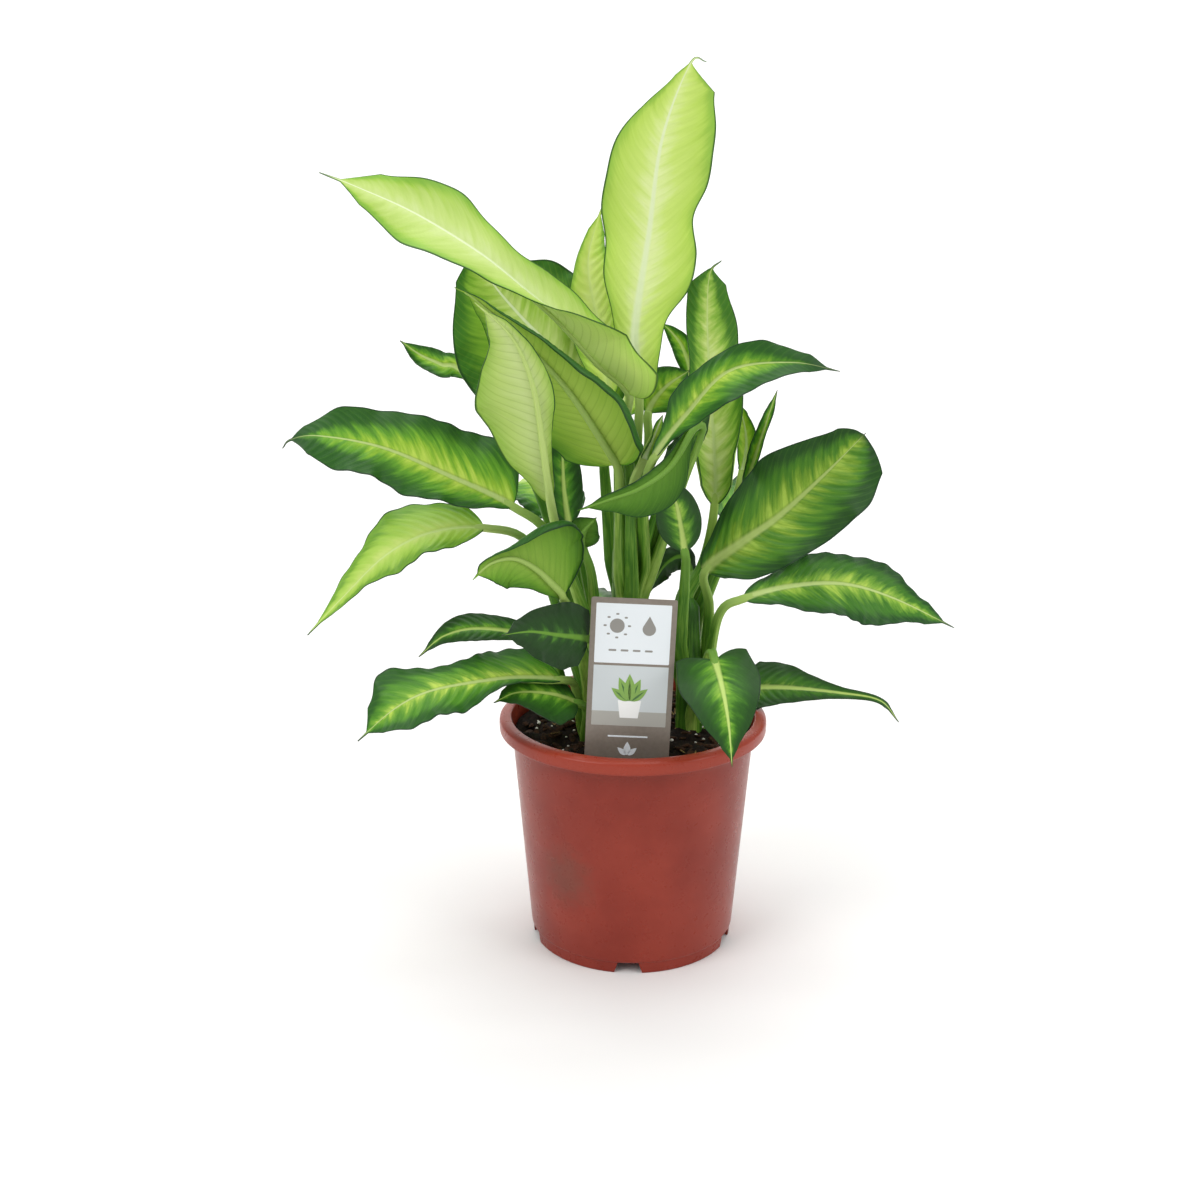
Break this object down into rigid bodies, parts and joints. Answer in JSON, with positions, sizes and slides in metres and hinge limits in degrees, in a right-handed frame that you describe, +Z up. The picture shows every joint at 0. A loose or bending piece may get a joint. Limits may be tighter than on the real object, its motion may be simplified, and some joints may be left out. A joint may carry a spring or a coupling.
{
  "type": "potted dieffenbachia",
  "caption": "Potted foliage plant with broad, pale-hearted, green-edged leaves on fleshy canes, growing in soil in a round nursery pot with an upright plant label.",
  "frame": {"origin": "on the floor, under the middle of the pot", "axes": "+Z up along the pot's axis; the label and the fullest view of the leaves face -Y"},
  "size_m": [0.4071, 0.2145, 0.544],
  "materials": {
    "pot": "satin gloss moulded plastic, terracotta red-brown",
    "soil": "moist dark peat with bark and white grains",
    "label": "printed satin card, taupe border with pale and pictured panels",
    "stem": "smooth fleshy green stem",
    "leaf_pale": "satin leaf, mostly pale yellow-green with a darker edge",
    "leaf_mid": "satin leaf, pale along the midrib and mid green towards a dark edge",
    "leaf_dark": "satin leaf, dark green with a pale midrib"
  },
  "bodies": {
    "root": {"pot": "pot", "soil": "soil", "label": "label", "cane_centre": "stem", "cane_right": "stem", "cane_left": "stem", "cane_low": "stem", "leaf_crown": "leaf_pale", "leaf_crown_young": "leaf_pale", "leaf_upper_left_long": "leaf_pale", "leaf_upper_left_broad": "leaf_pale", "leaf_centre_arched": "leaf_mid", "leaf_centre_upright": "leaf_pale", "leaf_left_big": "leaf_mid", "leaf_front_left_cupped": "leaf_mid", "leaf_left_drooping": "leaf_pale", "leaf_left_inner": "leaf_dark", "leaf_small_inner": "leaf_dark", "leaf_centre_under": "leaf_mid", "leaf_right_pointing": "leaf_mid", "leaf_centre_furled": "leaf_pale", "leaf_centre_dark": "leaf_dark", "leaf_right_small": "leaf_mid", "leaf_right_tall": "leaf_pale", "leaf_right_furled": "leaf_pale", "leaf_right_spike": "leaf_mid", "leaf_right_big": "leaf_mid", "leaf_right_low": "leaf_mid", "leaf_front_heart": "leaf_dark", "leaf_right_lowest": "leaf_dark", "leaf_left_lowest": "leaf_mid", "leaf_front_soil": "leaf_dark", "leaf_front_dark": "leaf_dark", "leaf_left_folded": "leaf_dark", "leaf_far_left_small": "leaf_mid", "leaf_crown_small": "leaf_mid", "leaf_centre_back": "leaf_mid", "leaf_back_wavy": "leaf_dark", "leaf_back_left": "leaf_mid", "leaf_back_right": "leaf_mid", "leaf_back_upper": "leaf_pale", "leaf_back_low": "leaf_dark"}
  },
  "joints": []
}
